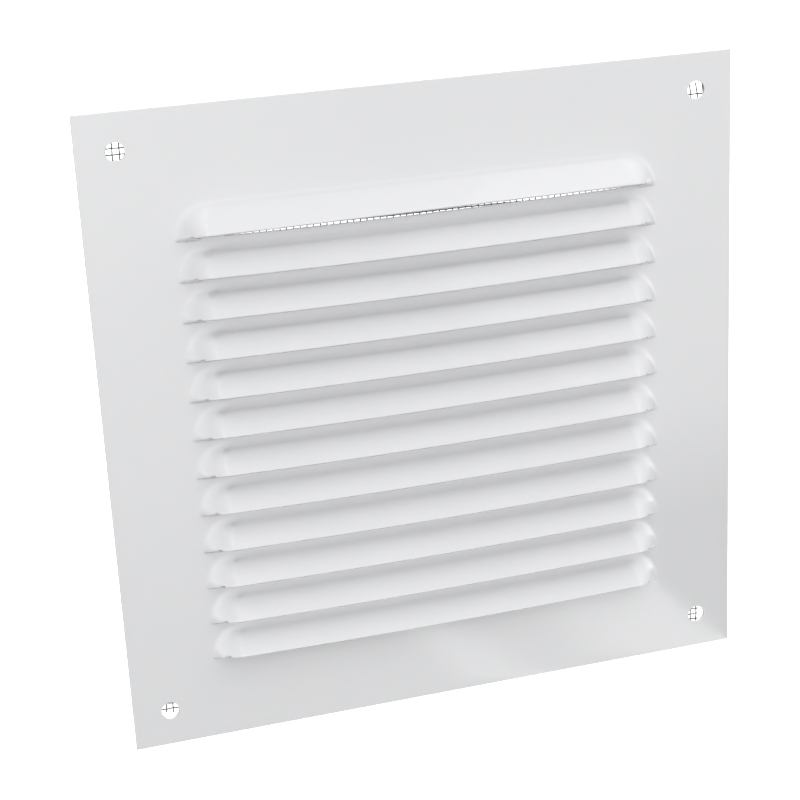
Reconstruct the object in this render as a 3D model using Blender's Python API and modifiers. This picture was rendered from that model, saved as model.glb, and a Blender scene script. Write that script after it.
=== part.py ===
"""Louvred air grille: a pressed square face plate with an insect screen bonded to its back.

Metres, +Z up. The grille faces -Y and hangs on a wall. The origin is the centre of the plane
that meets the wall, which is the back of the screen.
"""
import bpy
import bmesh
import math
from mathutils import Matrix

# Face plate: one square sheet, its louvres pressed out of it.
PLATE_SIZE = 0.200
SHEET = 0.0009
SCREW_HOLE_RADIUS = 0.00275
SCREW_HOLE_INSET = 0.0115          # from each edge to the hole's centre

# Louvres: each is a slit whose upper edge is pushed out to the front as a sloping hood.
LOUVRE_COUNT = 12
LOUVRE_PITCH = 0.01215
TOP_FOLD_Z = 0.06955               # where the first hood starts to lean out
HOOD_BLANK = 0.0092                # flat sheet between a hood's fold and its slit
LIP_PROUD = 0.0060                 # how far a lip stands in front of the plate
LIP_RISE = 0.0018                  # how far a lip lifts above its slit
TOP_LIP_BOW = 0.0005               # the first lip, with nothing above it, is bowed upwards
LIP_HALF = 0.0655                  # half the straight length of a lip
SLIT_HALF = 0.0730                 # half the length of a slit, where the closed ends die out
END_FULLNESS = 1.8                 # 1 is a straight taper to the slit's end, 2 a rounded one
HOOD_ROWS = 4
END_COLUMNS = 6
LIP_COLUMNS = 8

# Insect screen: woven wire cloth cut to a square and laid on by hand, a little out of true.
GAP = 0.0003
SCREEN_THICKNESS = 0.00075
SCREEN_WIDTH = 0.1844
SCREEN_HEIGHT = 0.1826
SCREEN_SHIFT_X = -0.0007
SCREEN_SHIFT_Z = 0.0004
SCREEN_TURN = math.radians(0.76)   # clockwise, seen from the front

# Adhesive dabs: two on each side, between the louvres and the screen's cut edge. They fill the
# screen's whole thickness and end flush with its back, which stays clear to meet the wall.
DAB_LENGTH = 0.0170
DAB_WIDTH = 0.0060
DAB_FROM_CENTRE = 0.0820
DAB_ALONG = 0.0420
DAB_SIDES = 32

HOLE_SIDES = 40
HALF = PLATE_SIZE / 2
PLATE_BACK_Y = -SCREEN_THICKNESS - GAP
PLATE_FRONT_Y = PLATE_BACK_Y - SHEET


def clear_scene():
    for thing in list(bpy.data.objects):
        bpy.data.objects.remove(thing, do_unlink=True)


def new_collection(name):
    collection = bpy.data.collections.new(name)
    bpy.context.scene.collection.children.link(collection)
    return collection


def new_material(name, colour, roughness, metallic=0.0):
    material = bpy.data.materials.new(name)
    material.use_nodes = True
    material.diffuse_color = (*colour, 1.0)
    shader = material.node_tree.nodes["Principled BSDF"]
    shader.inputs["Base Color"].default_value = (*colour, 1.0)
    shader.inputs["Roughness"].default_value = roughness
    shader.inputs["Metallic"].default_value = metallic
    return material


def white_paint():
    return new_material("white_paint", (0.80, 0.81, 0.82), 0.32)


def screen_wire():
    return new_material("screen_wire", (0.16, 0.16, 0.16), 0.45, 0.7)


def set_adhesive():
    return new_material("adhesive", (0.78, 0.76, 0.70), 0.35)


def new_object(name, bm, collection, material=None):
    mesh = bpy.data.meshes.new(name)
    bm.to_mesh(mesh)
    bm.free()
    thing = bpy.data.objects.new(name, mesh)
    if material:
        mesh.materials.append(material)
    collection.objects.link(thing)
    return thing


def louvre_fold(index):
    return TOP_FOLD_Z - index * LOUVRE_PITCH


def blank_rows():
    """Heights of the flat blank's rows, from the bottom edge up."""
    rows = [HALF, -HALF]
    for index in range(LOUVRE_COUNT):
        rows += [louvre_fold(index) - HOOD_BLANK * step / HOOD_ROWS for step in range(HOOD_ROWS + 1)]
    return sorted(rows)


def blank_columns():
    """Places of the flat blank's columns, from left to right."""
    end_step = (SLIT_HALF - LIP_HALF) / END_COLUMNS
    right_end = [LIP_HALF + end_step * step for step in range(END_COLUMNS + 1)] + [HALF]
    lip_step = 2 * LIP_HALF / LIP_COLUMNS
    along_lip = [-LIP_HALF + lip_step * step for step in range(1, LIP_COLUMNS)]
    return sorted([-x for x in right_end] + along_lip + right_end)


def end_share(x):
    """How much of its full depth a hood has at x: all of it along the lip, none at the slit's end."""
    towards_end = min(max((abs(x) - LIP_HALF) / (SLIT_HALF - LIP_HALF), 0.0), 1.0)
    return 1 - towards_end ** END_FULLNESS


def top_lip_bow(x):
    return TOP_LIP_BOW * max(0.0, 1 - (x / LIP_HALF) ** 2)


def pressed_place(x, z, index):
    """Where the blank's point at (x, z), on hood number index, lies once the hood is pressed."""
    reach = (louvre_fold(index) - z) / HOOD_BLANK * end_share(x)
    lift = LIP_RISE * reach
    if index == 0:
        lift += top_lip_bow(x) * reach
    return (x, PLATE_FRONT_Y - LIP_PROUD * reach, z + lift)


def grid_blank(columns, rows):
    """A flat grid in the plate's front plane, with the given columns and rows, facing the front."""
    bm = bmesh.new()
    bmesh.ops.create_grid(bm, x_segments=len(columns) - 1, y_segments=len(rows) - 1, size=0.5)
    for vert in bm.verts:
        column = round((vert.co.x + 0.5) * (len(columns) - 1))
        row = round((vert.co.y + 0.5) * (len(rows) - 1))
        vert.co = (columns[column], PLATE_FRONT_Y, rows[row])
    bm.normal_update()
    return bm


def hood_of(z):
    """The number of the hood that height z of the blank belongs to, or None on flat sheet."""
    index = math.floor((TOP_FOLD_Z - z) / LOUVRE_PITCH)
    if 0 <= index < LOUVRE_COUNT and louvre_fold(index) - z < HOOD_BLANK:
        return index
    return None


def cut_slits(bm):
    slits = [louvre_fold(index) - HOOD_BLANK for index in range(LOUVRE_COUNT)]
    nearly = HOOD_BLANK / 100

    def on_slit(edge):
        level = all(any(abs(v.co.z - slit) < nearly for slit in slits) for v in edge.verts)
        middle = (edge.verts[0].co + edge.verts[1].co) / 2
        return level and abs(middle.x) < SLIT_HALF

    bmesh.ops.split_edges(bm, edges=[edge for edge in bm.edges if on_slit(edge)])


def press_hoods(bm):
    """Move every point of the blank to its pressed place. A point's faces say which hood it is on."""
    places = {}
    for vert in bm.verts:
        hoods = {hood_of(face.calc_center_median().z) for face in vert.link_faces} - {None}
        if hoods:
            places[vert] = pressed_place(vert.co.x, vert.co.z, hoods.pop())
    for vert, place in places.items():
        vert.co = place


def move_to(thing, collection):
    for home in list(thing.users_collection):
        home.objects.unlink(thing)
    collection.objects.link(thing)


def disc(name, centre, width, height, depth, sides, collection):
    """A round or oval disc of that depth, its flat faces towards the front and the back."""
    bpy.ops.mesh.primitive_cylinder_add(vertices=sides, radius=0.5, depth=1)
    thing = bpy.context.object
    thing.name = name
    upright = Matrix.Rotation(math.radians(90), 4, "X")
    thing.data.transform(Matrix.Diagonal((width, depth, height, 1)) @ upright)
    thing.location = centre
    move_to(thing, collection)
    return thing


def cut_with(thing, cutter):
    cutter.hide_render = True
    cutter.display_type = "WIRE"
    cut = thing.modifiers.new(cutter.name, "BOOLEAN")
    cut.operation = "DIFFERENCE"
    cut.solver = "EXACT"
    cut.object = cutter


def make_face_plate(parts, cutters):
    bm = grid_blank(blank_columns(), blank_rows())
    cut_slits(bm)
    press_hoods(bm)
    plate = new_object("face_plate", bm, parts, white_paint())
    thicken = plate.modifiers.new("sheet", "SOLIDIFY")
    thicken.thickness = SHEET
    thicken.offset = -1
    thicken.use_even_offset = True
    reach = HALF - SCREW_HOLE_INSET
    middle_y = (PLATE_FRONT_Y + PLATE_BACK_Y) / 2
    for side, x in (("left", -reach), ("right", reach)):
        for level, z in (("low", -reach), ("high", reach)):
            name = f"screw_hole_{side}_{level}"
            size = 2 * SCREW_HOLE_RADIUS
            hole = disc(name, (x, middle_y, z), size, size, 6 * SHEET, HOLE_SIDES, cutters)
            cut_with(plate, hole)
    return plate


def make_insect_screen(parts):
    bpy.ops.mesh.primitive_cube_add(size=1)
    screen = bpy.context.object
    screen.name = "insect_screen"
    screen.data.transform(Matrix.Diagonal((SCREEN_WIDTH, SCREEN_THICKNESS, SCREEN_HEIGHT, 1)))
    screen.location = (SCREEN_SHIFT_X, -SCREEN_THICKNESS / 2, SCREEN_SHIFT_Z)
    screen.rotation_euler = (0, SCREEN_TURN, 0)
    screen.data.materials.append(screen_wire())
    move_to(screen, parts)
    return screen


def dab_places():
    """Each dab's name, x, z, width and height."""
    for side, x in (("left", -DAB_FROM_CENTRE), ("right", DAB_FROM_CENTRE)):
        for level, z in (("lower", -DAB_ALONG), ("upper", DAB_ALONG)):
            yield f"adhesive_{side}_{level}", x, z, DAB_WIDTH, DAB_LENGTH
    for level, z in (("bottom", -DAB_FROM_CENTRE), ("top", DAB_FROM_CENTRE)):
        for side, x in (("left", -DAB_ALONG), ("right", DAB_ALONG)):
            yield f"adhesive_{level}_{side}", x, z, DAB_LENGTH, DAB_WIDTH


def make_adhesive_dabs(screen, parts, cutters):
    """The dabs, each in a window of its own in the screen."""
    material = set_adhesive()
    for name, x, z, width, height in dab_places():
        centre = (x, -SCREEN_THICKNESS / 2, z)
        dab = disc(name, centre, width, height, SCREEN_THICKNESS, DAB_SIDES, parts)
        dab.data.materials.append(material)
        window = disc(
            f"window_{name}",
            centre,
            width + 2 * GAP,
            height + 2 * GAP,
            6 * SCREEN_THICKNESS,
            DAB_SIDES,
            cutters,
        )
        cut_with(screen, window)


def main():
    clear_scene()
    parts = new_collection("louvred_air_grille")
    cutters = new_collection("cutters")
    make_face_plate(parts, cutters)
    screen = make_insect_screen(parts)
    make_adhesive_dabs(screen, parts, cutters)


main()
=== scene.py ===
"""The looks of the louvred air grille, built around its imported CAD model.

Metres, +Z up. The grille faces -Y. Its louvred face plate, its woven insect screen and the adhesive
that holds the screen are modelled finely here, each in the place of its CAD node.
"""
import math

import bmesh
import bpy
import numpy as np
from mathutils import Matrix, Vector


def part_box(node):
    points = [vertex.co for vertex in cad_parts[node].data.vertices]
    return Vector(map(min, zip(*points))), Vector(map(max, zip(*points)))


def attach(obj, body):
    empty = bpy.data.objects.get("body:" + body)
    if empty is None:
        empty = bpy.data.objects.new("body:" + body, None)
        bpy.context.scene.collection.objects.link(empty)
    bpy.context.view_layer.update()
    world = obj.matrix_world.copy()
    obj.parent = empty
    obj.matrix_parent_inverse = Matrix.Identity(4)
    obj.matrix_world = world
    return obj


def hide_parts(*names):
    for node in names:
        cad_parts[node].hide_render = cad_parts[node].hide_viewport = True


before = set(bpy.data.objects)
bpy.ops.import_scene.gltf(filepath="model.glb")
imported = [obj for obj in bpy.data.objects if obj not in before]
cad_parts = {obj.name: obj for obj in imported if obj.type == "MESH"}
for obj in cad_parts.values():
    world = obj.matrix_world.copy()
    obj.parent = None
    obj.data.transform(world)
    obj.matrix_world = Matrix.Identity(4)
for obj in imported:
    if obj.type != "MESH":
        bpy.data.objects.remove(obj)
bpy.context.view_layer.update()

MM = 0.001

# The face plate, as the CAD has it.
PLATE_LOW, PLATE_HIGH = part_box("face_plate")
SHEET = 0.9 * MM
HALF = PLATE_HIGH.x
BACK_Y = PLATE_HIGH.y
FRONT_Y = BACK_Y - SHEET
LIP_PROUD = FRONT_Y - PLATE_LOW.y
SCREW_HOLE_RADIUS = 2.75 * MM
SCREW_HOLE_REACH = HALF - 11.5 * MM

# The louvres. A hood's blank is the flat sheet between its fold and its slit.
LOUVRE_COUNT = 12
LOUVRE_PITCH = 12.15 * MM
LOUVRE_CENTRE_X = 0.4 * MM
MIDDLE_LOUVRE = 6                  # counted from 0 at the top
MIDDLE_FOLD_Z = -3.11 * MM
LOUVRE_CREEP = 0.0225 * MM         # each step down is twice this much shorter than the one before
HOOD_BLANK = 9.8 * MM
LIP_RISE = 1.8 * MM
TOP_FOLD_SOFTNESS = 1.2 * MM       # half the width of the bend along the first hood's fold
FOLD_SOFTNESS = 1.9 * MM           # the same for the other hoods, whose bends start just below a slit
SLIT_HALF = 70.0 * MM
BLADE_SAG = 0.80 * MM              # the strips between slits hang a little in the middle
SAG_HALF = 70.0 * MM
MARGIN_GIVE = 10.0 * MM            # how far below the last slit the sheet still hangs with it
TOP_LIP_LIFT = 0.20 * MM           # the first lip is bent up a little, most of all to the right
TOP_LIP_SLANT = 0.5                # the lift is up to this share more to the right, and less to the left
EDGE_ROUND = 0.13 * MM
EDGE_FADE_FROM = 1.2 * MM          # a slit's edges are sharp this near its ends
EDGE_FADE_OVER = 3.0 * MM

# A hood's closed ends, all distances from the middle of the louvre. Past its shoulder the hood falls
# away, and at its foot it meets the plate. At the slit's ends the sheet below is drawn out with it.
SHOULDER_AT_LIP = 65.8 * MM
SHOULDER_AT_FOLD = 60.8 * MM
SHOULDER_BEND = 3.2                # 1 is a straight shoulder, and higher bends it more near the fold
FOOT_AT_FOLD = 69.5 * MM
FOOT_AT_SLIT = 73.9 * MM
END_FULLNESS = 1.35                # 1 is a straight taper from shoulder to foot, 2 a rounded one
END_FILLET = 0.10                  # softness of the foot of a closed end, as a share of the depth
CHIN_START = 66.5 * MM
CHIN_DROP = 0.6 * MM

# How finely the sheet is divided.
HOLE_SIDES = 64
FINE_FROM = 60 * MM                # its columns are close together over the louvres' ends
FINE_TO = 78 * MM
FINE_COLUMNS = 36
MIDDLE_COLUMNS = 28
MARGIN_COLUMNS = 8
TOP_MARGIN_ROWS = 11
STRIP_ROWS = 4
BEND_ROWS = 12
SLOPE_ROWS = 11
CHIN_ROWS = 8
LOW_MARGIN_ROWS = 8

# The screen's own grid: u to the right and v up, turned with the cloth about its centre.
SCREEN_LOW, SCREEN_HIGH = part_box("insect_screen")
SCREEN_CENTRE = (SCREEN_LOW + SCREEN_HIGH) / 2
SCREEN_TURN = math.radians(0.76)
SCREEN_HALF_U = 92.2 * MM
SCREEN_HALF_V = 91.3 * MM
WIRE_RADIUS = 0.21 * MM
WIRE_SIDES = 5
WIRE_SWING = 0.8 * WIRE_RADIUS     # how far a wire weaves to each side of the cloth's middle
LONG_DRIFT = 0.10 * MM             # how far the wires wander, in long waves and in short ones
SHORT_DRIFT = 0.06 * MM
UPRIGHT_FIRST = -91.59 * MM
UPRIGHT_PITCH = 2.03 * MM
UPRIGHT_COUNT = 91
LEVEL_FIRST = -89.96 * MM
LEVEL_PITCH = 1.85 * MM
LEVEL_COUNT = 98
FRAY_FROM = 60 * MM                # to the right of this the top level wire has come away
UPRIGHT_LOW_ENDS = (-0.3, 0.3)     # range of mm that cut ends lie above or right of the cloth's edge
UPRIGHT_HIGH_ENDS = (-0.5, 0.3)
LEVEL_LEFT_ENDS = (-0.3, 0.3)
LEVEL_RIGHT_ENDS = (-0.4, 0.3)
TOP_LEANS = (-14, 6)               # range of degrees that free ends lean to the right
BOTTOM_LEANS = (-12, 8)

# The adhesive.
DABS = sorted(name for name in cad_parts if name.startswith("adhesive_"))
DAB_RINGS = 14
DAB_SIDES = 56
DAB_FULLNESS = 4.5                 # 2 is a dome, and higher is flatter with a steeper side
DAB_CLEARANCE = 0.02 * MM

# The stage, light and camera, in metres and watts. LIGHT_ABOVE and LIGHT_BELOW are the world's.
FLOOR_SIZE = 24
FLOOR_Z = -0.40
BACKDROP_RADIUS = 11
# The glowing card below is seen only in reflections: it paints the plate's reflection.
CARD_SIZE = 16
CARD_CENTRE = (0.459, -1.62, -0.627)
LIGHT_ABOVE = 1.50
LIGHT_BELOW = 0.31
BRIGHTEST_DIRECTION = (0.30, 0, 0.95)
DIMMEST_FROM = -0.1                # heights along that direction where the world's light levels off
BRIGHTEST_FROM = 0.8
KEY_PLACE = (1.20, -0.82, 1.34)
KEY_SIZE = 1.2
KEY_POWER = 2.5
FLOOR_WASH_PLACE = (0.6, 2.6, 2.0)
FLOOR_WASH_SIZE = 4.0
FLOOR_WASH_POWER = 120
CAMERA_PLACE = (-0.1533, -0.54164, 0.20926)
CAMERA_AZIMUTH = math.radians(16.329)
CAMERA_ELEVATION = math.radians(19.111)
CAMERA_ROLL = math.radians(-2.569)
CAMERA_LENS = 87.7                 # this and the sensor in millimetres
CAMERA_SENSOR = 36
CAMERA_SHIFT_X = -0.055
CAMERA_SHIFT_Y = -0.0539


# ---------------------------------------------------------------- small tools

def new_mesh_object(name, points, faces):
    mesh = bpy.data.meshes.new(name)
    mesh.from_pydata(points.tolist() if hasattr(points, "tolist") else points, [], faces)
    mesh.update()
    thing = bpy.data.objects.new(name, mesh)
    bpy.context.scene.collection.objects.link(thing)
    return thing


def bake_modifiers(thing):
    """The object keeps the shape that its modifiers give, and loses them."""
    graph = bpy.context.evaluated_depsgraph_get()
    mesh = bpy.data.meshes.new_from_object(thing.evaluated_get(graph))
    thing.modifiers.clear()
    thing.data = mesh


def place(thing, node_names, material):
    thing.data.materials.clear()
    thing.data.materials.append(material)
    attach(thing, "root")
    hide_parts(*node_names)


def node_of(tree, kind, **inputs):
    node = tree.nodes.new(kind)
    for name, value in inputs.items():
        node.inputs[name].default_value = value
    return node


# ---------------------------------------------------------------- the pressed sheet

def fold_softness(louvre):
    return FOLD_SOFTNESS if louvre else TOP_FOLD_SOFTNESS


def fold_profile(q, softness):
    """Share of a hood's depth at distance q below its fold, with the bend at the fold rounded."""
    bend = (q + softness) ** 2 / (4 * softness)
    depth = np.where(q < -softness, 0.0, np.where(q < softness, bend, q))
    return depth / HOOD_BLANK


def shoulder(down):
    """Where a hood's full section ends. down runs from 0 at the fold to 1 at the slit."""
    return SHOULDER_AT_LIP - (SHOULDER_AT_LIP - SHOULDER_AT_FOLD) * (1 - down) ** SHOULDER_BEND


def foot(down):
    """Where a hood's closed end meets the plate."""
    return FOOT_AT_SLIT - (FOOT_AT_SLIT - FOOT_AT_FOLD) * (1 - down) ** 2


def end_share(x, q):
    """How much of a hood's depth is left at x: all of it up to the shoulder, none past the foot."""
    down = np.clip(q / HOOD_BLANK, 0, 1)
    out = np.abs(x - LOUVRE_CENTRE_X)
    across = np.maximum((out - shoulder(down)) / (foot(down) - shoulder(down)), 0)
    raw = 1 - across ** END_FULLNESS
    soft = (raw + END_FILLET) ** 2 / (4 * END_FILLET)
    return np.where(raw < -END_FILLET, 0.0, np.where(raw < END_FILLET, soft, raw))


def chin(x, below):
    """How far the sheet just below a slit is drawn out at the slit's ends and past them."""
    out = np.abs(x - LOUVRE_CENTRE_X)
    grip = np.clip((out - CHIN_START) / (SLIT_HALF - CHIN_START), 0, 1)
    fall = 0.5 + 0.5 * math.cos(math.pi * min(below / CHIN_DROP, 1))
    return end_share(x, HOOD_BLANK) * grip ** 2 * (3 - 2 * grip) * fall


def louvre_fold(louvre):
    """Height of a louvre's fold. The steps shrink a little from the top louvre to the bottom one."""
    steps = louvre - MIDDLE_LOUVRE
    return MIDDLE_FOLD_Z - steps * LOUVRE_PITCH + LOUVRE_CREEP * steps ** 2


def louvre_slit(louvre):
    return louvre_fold(louvre) - HOOD_BLANK


def blade_sag(x):
    return BLADE_SAG * np.clip(1 - (x / SAG_HALF) ** 2, 0, 1)


def top_lip_lift(x):
    return TOP_LIP_LIFT * (1 + TOP_LIP_SLANT * np.sin(x / SAG_HALF))


def pressed_row(x, z, louvre):
    """Where the blank's points at height z lie once pressed. The last louvre's number plus one
    stands for the margin below it."""
    reach = np.zeros_like(x)
    if louvre < LOUVRE_COUNT:
        q = louvre_fold(louvre) - z
        reach = fold_profile(q, fold_softness(louvre)) * end_share(x, q)
    if louvre > 0:
        reach = reach + chin(x, louvre_slit(louvre - 1) - z)
    height = z + LIP_RISE * reach
    if louvre == 0:
        height = height + top_lip_lift(x) * reach
    else:
        below = max(louvre_slit(LOUVRE_COUNT - 1) - z, 0)
        height = height - blade_sag(x) * max(1 - below / MARGIN_GIVE, 0)
    return np.stack([x, FRONT_Y - LIP_PROUD * reach, height], 1)


def column_places():
    """Where the sheet's columns are: close together over the louvres' ends."""
    half = np.linspace(FINE_TO, FINE_FROM, FINE_COLUMNS + 1)
    half[np.argmin(np.abs(half - SLIT_HALF))] = SLIT_HALF
    ends = [LOUVRE_CENTRE_X - half, LOUVRE_CENTRE_X + half[::-1]]
    left_margin = np.linspace(-HALF, ends[0][0], MARGIN_COLUMNS + 1)[:-1]
    middle = np.linspace(ends[0][-1], ends[1][0], MIDDLE_COLUMNS + 1)[1:-1]
    right_margin = np.linspace(ends[1][-1], HALF, MARGIN_COLUMNS + 1)[1:]
    return np.concatenate([left_margin, ends[0], middle, ends[1], right_margin])


def sheet_rows(x):
    """The sheet's rows from the top down, and the numbers of the rows that a slit opens below."""
    top_margin = np.linspace(HALF, louvre_fold(0) + 2 * TOP_FOLD_SOFTNESS, TOP_MARGIN_ROWS + 1)
    heights = [(z, 0) for z in top_margin]
    slit_after = []
    for louvre in range(LOUVRE_COUNT):
        fold = louvre_fold(louvre)
        soft = fold_softness(louvre)
        if louvre:
            strip = np.linspace(louvre_slit(louvre - 1), fold + soft, STRIP_ROWS + 1)[:-1]
            heights += [(z, louvre) for z in strip]
        bend = np.linspace(fold + soft, fold - soft, BEND_ROWS + 1)
        slope = np.linspace(fold - soft, louvre_slit(louvre), SLOPE_ROWS + 1)[1:]
        heights += [(z, louvre) for z in np.concatenate([bend, slope])]
        slit_after.append(len(heights) - 1)
    last_slit = louvre_slit(LOUVRE_COUNT - 1)
    chin_rows = np.linspace(last_slit, last_slit - CHIN_DROP, CHIN_ROWS + 1)
    low_margin = np.linspace(last_slit - CHIN_DROP, -HALF, LOW_MARGIN_ROWS + 1)[1:]
    heights += [(z, LOUVRE_COUNT) for z in np.concatenate([chin_rows, low_margin])]
    return [pressed_row(x, z, louvre) for z, louvre in heights], slit_after


def sheet_surface(name):
    """The sheet's front as one open surface, slit under every louvre."""
    x = column_places()
    rows, slit_after = sheet_rows(x)
    points = []
    numbers = []
    for index, row in enumerate(rows):
        below_slit = index - 1 in slit_after
        line = []
        for column, point in enumerate(row):
            if below_slit and abs(x[column] - LOUVRE_CENTRE_X) >= SLIT_HALF - 1e-9:
                line.append(numbers[-1][column])
            else:
                line.append(len(points))
                points.append(point)
        numbers.append(line)
    faces = []
    for index in range(len(rows) - 1):
        if index in slit_after:
            continue
        upper, lower = numbers[index], numbers[index + 1]
        for column in range(len(x) - 1):
            faces.append((upper[column], lower[column], lower[column + 1], upper[column + 1]))
    return new_mesh_object(name, np.array(points), faces)


def drill_screw_holes(plate):
    """Cuts the four holes with one cutter."""
    bm = bmesh.new()
    for side_x in (-1, 1):
        for side_z in (-1, 1):
            spot = Matrix.Translation((side_x * SCREW_HOLE_REACH, FRONT_Y, side_z * SCREW_HOLE_REACH))
            turn = Matrix.Rotation(math.radians(90), 4, "X")
            bmesh.ops.create_cone(
                bm, cap_ends=True, segments=HOLE_SIDES, radius1=SCREW_HOLE_RADIUS,
                radius2=SCREW_HOLE_RADIUS, depth=6 * SHEET, matrix=spot @ turn,
            )
    mesh = bpy.data.meshes.new("drills")
    bm.to_mesh(mesh)
    bm.free()
    drills = bpy.data.objects.new("drills", mesh)
    bpy.context.scene.collection.objects.link(drills)
    cut = plate.modifiers.new("screw_holes", "BOOLEAN")
    cut.operation = "DIFFERENCE"
    cut.solver = "EXACT"
    cut.object = drills
    bake_modifiers(plate)
    bpy.data.objects.remove(drills)


def in_hole_wall(face):
    """Whether a face is part of the wall of a screw hole."""
    centre = face.calc_center_median()
    for side_x in (-1, 1):
        for side_z in (-1, 1):
            away = math.hypot(centre.x - side_x * SCREW_HOLE_REACH, centre.z - side_z * SCREW_HOLE_REACH)
            if away < SCREW_HOLE_RADIUS * 1.02 and abs(face.normal.y) < 0.5:
                return True
    return False


def round_cut_edges(plate):
    """Rounds the sheet's cut edges a little, as paint does: its outline, its holes and its slits."""
    bm = bmesh.new()
    bm.from_mesh(plate.data)
    weight = bm.edges.layers.float.new("bevel_weight_edge")
    for face in bm.faces:
        if in_hole_wall(face):
            face.material_index = 1
    for edge in bm.edges:
        if len(edge.link_faces) != 2:
            continue
        one, other = edge.link_faces
        if one.material_index == other.material_index:
            continue
        middle = (edge.verts[0].co + edge.verts[1].co) / 2
        at_slit = abs(middle.x) < 0.99 * HALF and abs(middle.z) < SCREW_HOLE_REACH - 2 * SCREW_HOLE_RADIUS
        from_end = SLIT_HALF - abs(middle.x - LOUVRE_CENTRE_X)
        fade = (from_end - EDGE_FADE_FROM) / EDGE_FADE_OVER if at_slit else 1.0
        edge[weight] = min(max(fade, 0.0), 1.0)
    bm.to_mesh(plate.data)
    bm.free()
    bevel = plate.modifiers.new("rounded", "BEVEL")
    bevel.limit_method = "WEIGHT"
    bevel.width = EDGE_ROUND
    bevel.segments = 2
    bevel.use_clamp_overlap = False
    bake_modifiers(plate)


def make_face_plate():
    """The sheet is thickened, drilled and rounded. Two stand-in materials tell its face and its cut
    rim apart until then."""
    plate = sheet_surface("pressed_plate")
    for name in ("face", "rim"):
        plate.data.materials.append(bpy.data.materials.new(name))
    thicken = plate.modifiers.new("sheet", "SOLIDIFY")
    thicken.thickness = SHEET
    thicken.offset = -1
    thicken.use_even_offset = True
    thicken.material_offset_rim = 1
    bake_modifiers(plate)
    drill_screw_holes(plate)
    round_cut_edges(plate)
    plate.data.shade_smooth()
    weigh = plate.modifiers.new("normals", "WEIGHTED_NORMAL")
    weigh.keep_sharp = False
    for polygon in plate.data.polygons:
        polygon.material_index = 0
    place(plate, ["face_plate"], white_paint())


# ---------------------------------------------------------------- the woven screen

def screen_point(u, v, y):
    """The place in the scene of cloth coordinates u and v, at depth y from the cloth's middle."""
    turn_sin, turn_cos = math.sin(SCREEN_TURN), math.cos(SCREEN_TURN)
    return np.stack(
        [
            SCREEN_CENTRE.x + u * turn_cos + v * turn_sin,
            SCREEN_CENTRE.y + y,
            SCREEN_CENTRE.z - u * turn_sin + v * turn_cos,
        ],
        -1,
    )


def cloth_drift(u, v):
    """How the weave wanders in its own plane, the same for both sets of wires."""
    du = LONG_DRIFT * np.sin(41 * v + 1.3 + 9 * u) + SHORT_DRIFT * np.sin(163 * v - 70 * u)
    dv = LONG_DRIFT * np.sin(37 * u + 0.4 - 11 * v) + SHORT_DRIFT * np.sin(149 * u + 60 * v + 2.0)
    return du, dv


def tubes(name, lines):
    """Round wires along the given lines, each an array of points."""
    points = []
    faces = []
    angles = np.arange(WIRE_SIDES) * 2 * math.pi / WIRE_SIDES
    for line in lines:
        along = np.gradient(line, axis=0)
        along /= np.linalg.norm(along, axis=1)[:, None]
        side = np.cross(along, (0.0, 1.0, 0.0))
        side /= np.linalg.norm(side, axis=1)[:, None]
        out = np.cross(side, along)
        ring = (
            side[:, None, :] * np.cos(angles)[None, :, None]
            + out[:, None, :] * np.sin(angles)[None, :, None]
        )
        tube = line[:, None, :] + WIRE_RADIUS * ring
        start = len(points) * WIRE_SIDES
        for index in range(len(line) - 1):
            here = start + index * WIRE_SIDES
            there = here + WIRE_SIDES
            for k in range(WIRE_SIDES):
                m = (k + 1) % WIRE_SIDES
                faces.append((here + k, there + k, there + m, here + m))
        last = start + (len(line) - 1) * WIRE_SIDES
        faces.append(tuple(start + k for k in range(WIRE_SIDES)))
        faces.append(tuple(last + k for k in reversed(range(WIRE_SIDES))))
        points.extend(tube)
    thing = new_mesh_object(name, np.concatenate(points), faces)
    thing.data.shade_smooth()
    thing.data.set_sharp_from_angle(angle=math.radians(80))
    return thing


def frayed_top(u, last_level):
    """Height of the last level wire at u: the top one has come away at the right corner."""
    return last_level - LEVEL_PITCH if u > FRAY_FROM else last_level


def upright_lines(draw):
    """Wires that run up. Past the last level wire their cut ends are free and bent."""
    last_level = LEVEL_FIRST + (LEVEL_COUNT - 1) * LEVEL_PITCH
    lines = []
    for number in range(UPRIGHT_COUNT):
        u = UPRIGHT_FIRST + number * UPRIGHT_PITCH
        low = -SCREEN_HALF_V + draw.uniform(*UPRIGHT_LOW_ENDS) * MM
        high = SCREEN_HALF_V + draw.uniform(*UPRIGHT_HIGH_ENDS) * MM
        v = np.arange(low, high, LEVEL_PITCH / 2)
        swing = np.cos(math.pi * ((v - LEVEL_FIRST) / LEVEL_PITCH + number))
        past_top = np.maximum(v - frayed_top(u, last_level), 0)
        past_bottom = np.maximum(LEVEL_FIRST - v, 0)
        lean_top = math.tan(math.radians(draw.uniform(*TOP_LEANS)))
        lean_bottom = math.tan(math.radians(draw.uniform(*BOTTOM_LEANS)))
        free = np.clip(1 - (past_top + past_bottom) / LEVEL_PITCH, 0, 1)
        du, dv = cloth_drift(np.full_like(v, u), v)
        across = u + du + past_top * lean_top + past_bottom * lean_bottom
        lines.append(screen_point(across, v + dv, WIRE_SWING * swing * free))
    return lines


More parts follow.
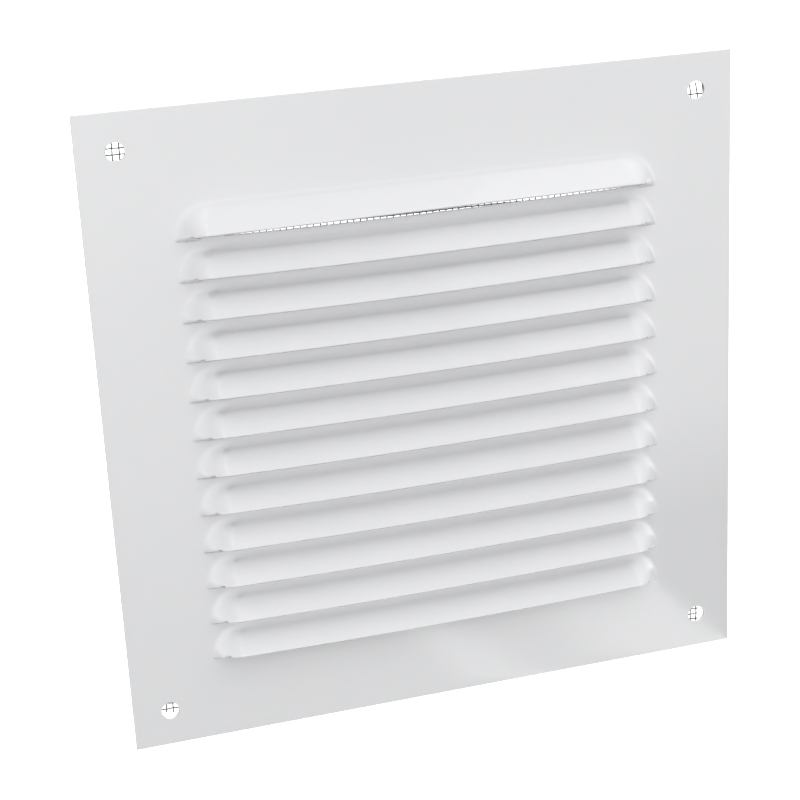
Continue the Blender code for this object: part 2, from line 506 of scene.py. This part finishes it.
def level_lines(draw):
    """Wires that run across."""
    lines = []
    for number in range(LEVEL_COUNT):
        v = LEVEL_FIRST + number * LEVEL_PITCH
        low = -SCREEN_HALF_U + draw.uniform(*LEVEL_LEFT_ENDS) * MM
        high = SCREEN_HALF_U + draw.uniform(*LEVEL_RIGHT_ENDS) * MM
        if number == LEVEL_COUNT - 1:
            high = FRAY_FROM
        u = np.arange(low, high, UPRIGHT_PITCH / 2)
        swing = -np.cos(math.pi * ((u - UPRIGHT_FIRST) / UPRIGHT_PITCH + number))
        du, dv = cloth_drift(u, np.full_like(u, v))
        lines.append(screen_point(u + du, v + dv, WIRE_SWING * swing))
    return lines


def make_screen():
    draw = np.random.default_rng(7)
    material = screen_wire()
    uprights = tubes("screen_upright_wires", upright_lines(draw))
    levels = tubes("screen_level_wires", level_lines(draw))
    for wires in (uprights, levels):
        place(wires, ["insect_screen"], material)


# ---------------------------------------------------------------- the adhesive

def make_dab(node, material, draw):
    """A flattened dab of set adhesive: flat on the plate's back, uneven where it was pressed out."""
    low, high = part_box(node)
    centre = (low + high) / 2
    half_x, half_z = (high.x - low.x) / 2, (high.z - low.z) / 2
    angles = np.arange(DAB_SIDES) * 2 * math.pi / DAB_SIDES
    phases = draw.uniform(0, 2 * math.pi, 5)
    outline = 1 + 0.05 * np.sin(2 * angles + phases[0]) + 0.05 * np.sin(3 * angles + phases[1])
    outline = outline + 0.025 * np.sin(7 * angles + phases[2])
    front = BACK_Y + DAB_CLEARANCE
    points = []
    for ring in range(DAB_RINGS + 1):
        share = ring / DAB_RINGS
        rise = (high.y - front) * (1 - share ** DAB_FULLNESS)
        bumps = 0.05 * MM * np.sin(5 * angles + phases[3] + 4 * share) * share * (1 - share)
        x = centre.x + half_x * outline * share * np.cos(angles)
        z = centre.z + half_z * outline * share * np.sin(angles)
        points.append(np.stack([x, front + rise + bumps, z], 1))
    points = np.concatenate([points[0][:1]] + points[1:])
    faces = []
    for k in range(DAB_SIDES):
        m = (k + 1) % DAB_SIDES
        faces.append((0, 1 + k, 1 + m))
        for ring in range(DAB_RINGS - 1):
            here = 1 + ring * DAB_SIDES
            there = here + DAB_SIDES
            faces.append((here + k, there + k, there + m, here + m))
    rim = 1 + (DAB_RINGS - 1) * DAB_SIDES
    faces.append(tuple(rim + k for k in reversed(range(DAB_SIDES))))
    dab = new_mesh_object("dab_" + node.removeprefix("adhesive_"), points, faces)
    bm = bmesh.new()
    bm.from_mesh(dab.data)
    bmesh.ops.recalc_face_normals(bm, faces=bm.faces)
    bm.to_mesh(dab.data)
    bm.free()
    dab.data.shade_smooth()
    dab.data.set_sharp_from_angle(angle=math.radians(50))
    place(dab, [node], material)


def make_adhesive():
    draw = np.random.default_rng(11)
    material = set_adhesive()
    for node in DABS:
        make_dab(node, material, draw)


# ---------------------------------------------------------------- materials

def new_material(name):
    material = bpy.data.materials.new(name)
    material.use_nodes = True
    return material, material.node_tree, material.node_tree.nodes["Principled BSDF"]


def link(tree, output, target):
    tree.links.new(output, target)


def noise(tree, scale, detail=2.0, roughness=0.5):
    coordinates = tree.nodes.new("ShaderNodeTexCoord")
    texture = node_of(tree, "ShaderNodeTexNoise", Scale=scale, Detail=detail, Roughness=roughness)
    link(tree, coordinates.outputs["Object"], texture.inputs["Vector"])
    return texture.outputs["Fac"]


def combine(tree, operation, first, second):
    """A Math node's result. Either value is a number or another node's output."""
    node = tree.nodes.new("ShaderNodeMath")
    node.operation = operation
    for socket, value in zip(node.inputs, (first, second)):
        if isinstance(value, (int, float)):
            socket.default_value = value
        else:
            link(tree, value, socket)
    return node.outputs["Value"]


def ranged(tree, value, low, high, start=0.0, end=1.0):
    """The value's stretch from start to end, spread from low to high and held at both."""
    spread = tree.nodes.new("ShaderNodeMapRange")
    spread.inputs["From Min"].default_value = start
    spread.inputs["From Max"].default_value = end
    spread.inputs["To Min"].default_value = low
    spread.inputs["To Max"].default_value = high
    link(tree, value, spread.inputs["Value"])
    return spread.outputs["Result"]


def bump(tree, height, distance, normal=None):
    node = node_of(tree, "ShaderNodeBump", Strength=1.0, Distance=distance)
    link(tree, height, node.inputs["Height"])
    if normal:
        link(tree, normal, node.inputs["Normal"])
    return node.outputs["Normal"]


def mottle(tree, factor, first, second):
    """A colour that wanders between two."""
    tone = tree.nodes.new("ShaderNodeMix")
    tone.data_type = "RGBA"
    tone.inputs["A"].default_value = (*first, 1)
    tone.inputs["B"].default_value = (*second, 1)
    link(tree, factor, tone.inputs["Factor"])
    return tone.outputs["Result"]


def white_paint():
    """Smooth semi-gloss enamel: faint orange peel, a little cloudiness in tone and gloss."""
    material, tree, shader = new_material("white_paint")
    tone = mottle(tree, noise(tree, 35, 3), (0.775, 0.780, 0.795), (0.800, 0.803, 0.812))
    link(tree, tone, shader.inputs["Base Color"])
    link(tree, ranged(tree, noise(tree, 60, 4), 0.20, 0.28), shader.inputs["Roughness"])
    waves = bump(tree, noise(tree, 45, 1), 0.00006)
    peel = bump(tree, noise(tree, 900, 2), 0.000006, normal=waves)
    link(tree, peel, shader.inputs["Normal"])
    shader.inputs["IOR"].default_value = 1.5
    shader.inputs["Specular IOR Level"].default_value = 0.3
    shader.inputs["Coat Weight"].default_value = 1.0
    shader.inputs["Coat Roughness"].default_value = 0.05
    return material


def screen_wire():
    """Dull drawn wire, darker in patches."""
    material, tree, shader = new_material("screen_wire")
    tone = mottle(tree, noise(tree, 420, 4, 0.65), (0.030, 0.030, 0.030), (0.085, 0.085, 0.083))
    link(tree, tone, shader.inputs["Base Color"])
    link(tree, ranged(tree, noise(tree, 900, 3), 0.35, 0.6), shader.inputs["Roughness"])
    link(tree, bump(tree, noise(tree, 5000, 2), 0.00001), shader.inputs["Normal"])
    shader.inputs["Metallic"].default_value = 0.5
    return material


def set_adhesive():
    """Milky, slightly yellow set hot-melt, glossy with faint ripples."""
    material, tree, shader = new_material("adhesive")
    tone = mottle(tree, noise(tree, 260, 3), (0.70, 0.66, 0.55), (0.84, 0.82, 0.75))
    link(tree, tone, shader.inputs["Base Color"])
    link(tree, ranged(tree, noise(tree, 500, 3), 0.18, 0.36), shader.inputs["Roughness"])
    link(tree, bump(tree, noise(tree, 700, 2), 0.00012), shader.inputs["Normal"])
    shader.inputs["Subsurface Weight"].default_value = 0.25
    shader.inputs["Subsurface Scale"].default_value = 0.001
    return material


# ---------------------------------------------------------------- stage, light and camera

def glowing_material(name):
    """A new material that only glows, and the socket of its strength."""
    material, tree, shader = new_material(name)
    tree.nodes.remove(shader)
    emission = tree.nodes.new("ShaderNodeEmission")
    link(tree, emission.outputs["Emission"], tree.nodes["Material Output"].inputs["Surface"])
    return material, tree, emission.inputs["Strength"]


def make_floor():
    """A pale floor well below the grille. It is a backdrop only, and throws no light back up."""
    bpy.ops.mesh.primitive_plane_add(size=FLOOR_SIZE, location=(0, 0, FLOOR_Z))
    floor = bpy.context.object
    floor.name = "floor"
    material, _, shader = new_material("pale_floor")
    shader.inputs["Base Color"].default_value = (0.95, 0.95, 0.95, 1)
    shader.inputs["Roughness"].default_value = 0.9
    floor.data.materials.append(material)
    floor.visible_diffuse = False
    floor.visible_glossy = False


def make_backdrop():
    """A plain white dome. Only the camera sees it."""
    bpy.ops.mesh.primitive_uv_sphere_add(radius=BACKDROP_RADIUS, segments=48, ring_count=24)
    dome = bpy.context.object
    dome.name = "backdrop"
    material, _, strength = glowing_material("backdrop")
    strength.default_value = 1.0
    dome.data.materials.append(material)
    dome.visible_diffuse = False
    dome.visible_glossy = False
    dome.visible_transmission = False
    dome.visible_shadow = False


def card_glow(tree):
    """How bright the card glows at each place. Only reflections show the card, so this paints the
    reflection in the plate's glossy paint: painted highlights where it is bright and painted shade where
    it is dim.

    Across runs to the right and up runs upwards, in metres from the card's centre. The card
    brightens up to just below the grille's height and fades again above that. A crease runs from
    its upper left to its lower right. Below the centre it is brightest just left of the crease and
    dim to the right of it, with a narrow streak further left. Its upper left is a little brighter.
    """
    place_on_card = tree.nodes.new("ShaderNodeTexCoord")
    split = tree.nodes.new("ShaderNodeSeparateXYZ")
    link(tree, place_on_card.outputs["Object"], split.inputs["Vector"])
    across, up = split.outputs["X"], split.outputs["Y"]
    from_crease = combine(tree, "ADD", across, up)
    left_of_crease = combine(tree, "LESS_THAN", from_crease, -0.004)

    # Painted reflection: a band that brightens upwards, with painted shade to the right of the crease
    # below the centre.
    rise = ranged(tree, up, 3.05, 3.85, -0.40, 0.40)
    fade = ranged(tree, up, 1.0, 0.42, 0.50, 2.20)
    shade = combine(tree, "MAXIMUM", ranged(tree, up, 0.50, 1.0, -0.20, -0.06), left_of_crease)
    grade = combine(tree, "MULTIPLY", combine(tree, "MULTIPLY", rise, fade), shade)

    # Painted highlights in the reflection: a wedge left of the crease and a narrow streak further left.
    wedge = combine(tree, "MULTIPLY", ranged(tree, from_crease, 0, 1.5, -0.21, -0.12), left_of_crease)
    streak_left = ranged(tree, from_crease, 0, 1.5, -0.37, -0.33)
    streak_right = ranged(tree, from_crease, 1, 0, -0.31, -0.26)
    streak = combine(tree, "MULTIPLY", streak_left, streak_right)
    low_down = ranged(tree, up, 1, 0, -0.30, -0.05)
    low_glow = combine(tree, "MULTIPLY", combine(tree, "ADD", wedge, streak), low_down)

    to_the_left = ranged(tree, across, 0.7, 0, -0.45, -0.05)
    upper_left = combine(tree, "MULTIPLY", to_the_left, ranged(tree, up, 0, 1, -0.20, 0.30))
    return combine(tree, "ADD", combine(tree, "ADD", grade, low_glow), upper_left)


def make_reflection_glow_card():
    """A wide graded card in front of the grille that glows, though it is no lamp. Only glossy surfaces
    show it, so it is a painted reflection in the plate's paint.
    """
    bpy.ops.mesh.primitive_plane_add(size=CARD_SIZE, location=CARD_CENTRE)
    card = bpy.context.object
    card.name = "reflection_glow_card"
    card.rotation_euler = (math.radians(90), 0, 0)
    material, tree, strength = glowing_material("card")
    link(tree, card_glow(tree), strength)
    card.data.materials.append(material)
    card.visible_camera = False
    card.visible_diffuse = False
    card.visible_transmission = False
    card.visible_shadow = False


def soft_light(name, place_at, aim_at, size, power):
    data = bpy.data.lights.new(name, "AREA")
    data.shape = "SQUARE"
    data.size = size
    data.energy = power
    lamp = bpy.data.objects.new(name, data)
    lamp.location = place_at
    lamp.rotation_euler = (Vector(aim_at) - Vector(place_at)).to_track_quat("-Z", "Y").to_euler()
    bpy.context.scene.collection.objects.link(lamp)


def make_light():
    """A pale studio, brightest overhead and a little to the right, a key and a wash on the floor."""
    world = bpy.data.worlds.new("studio")
    world.use_nodes = True
    tree = world.node_tree
    direction = tree.nodes.new("ShaderNodeTexCoord")
    brightest = tree.nodes.new("ShaderNodeVectorMath")
    brightest.operation = "DOT_PRODUCT"
    brightest.inputs[1].default_value = BRIGHTEST_DIRECTION
    spread = tree.nodes.new("ShaderNodeMapRange")
    spread.interpolation_type = "SMOOTHSTEP"
    spread.inputs["From Min"].default_value = DIMMEST_FROM
    spread.inputs["From Max"].default_value = BRIGHTEST_FROM
    spread.inputs["To Min"].default_value = LIGHT_BELOW
    spread.inputs["To Max"].default_value = LIGHT_ABOVE
    link(tree, direction.outputs["Generated"], brightest.inputs[0])
    link(tree, brightest.outputs["Value"], spread.inputs["Value"])
    link(tree, spread.outputs["Result"], tree.nodes["Background"].inputs["Strength"])
    tree.nodes["Background"].inputs["Color"].default_value = (1.0, 1.0, 1.0, 1)
    bpy.context.scene.world = world
    soft_light("key", KEY_PLACE, (0, 0, 0), KEY_SIZE, KEY_POWER)
    under_wash = (FLOOR_WASH_PLACE[0], FLOOR_WASH_PLACE[1], 0)
    soft_light("floor_wash", FLOOR_WASH_PLACE, under_wash, FLOOR_WASH_SIZE, FLOOR_WASH_POWER)


def make_camera():
    data = bpy.data.cameras.new("camera")
    data.sensor_width = CAMERA_SENSOR
    data.lens = CAMERA_LENS
    data.shift_x = CAMERA_SHIFT_X
    data.shift_y = CAMERA_SHIFT_Y
    camera = bpy.data.objects.new("camera", data)
    forward = Vector((
        math.sin(CAMERA_AZIMUTH) * math.cos(CAMERA_ELEVATION),
        math.cos(CAMERA_AZIMUTH) * math.cos(CAMERA_ELEVATION),
        -math.sin(CAMERA_ELEVATION),
    ))
    turn = forward.to_track_quat("-Z", "Y").to_matrix() @ Matrix.Rotation(CAMERA_ROLL, 3, "Z")
    camera.matrix_world = Matrix.Translation(CAMERA_PLACE) @ turn.to_4x4()
    bpy.context.scene.collection.objects.link(camera)
    bpy.context.scene.camera = camera


make_face_plate()
make_screen()
make_adhesive()
make_floor()
make_backdrop()
make_reflection_glow_card()
make_light()
make_camera()
bpy.context.scene.view_settings.view_transform = "Standard"
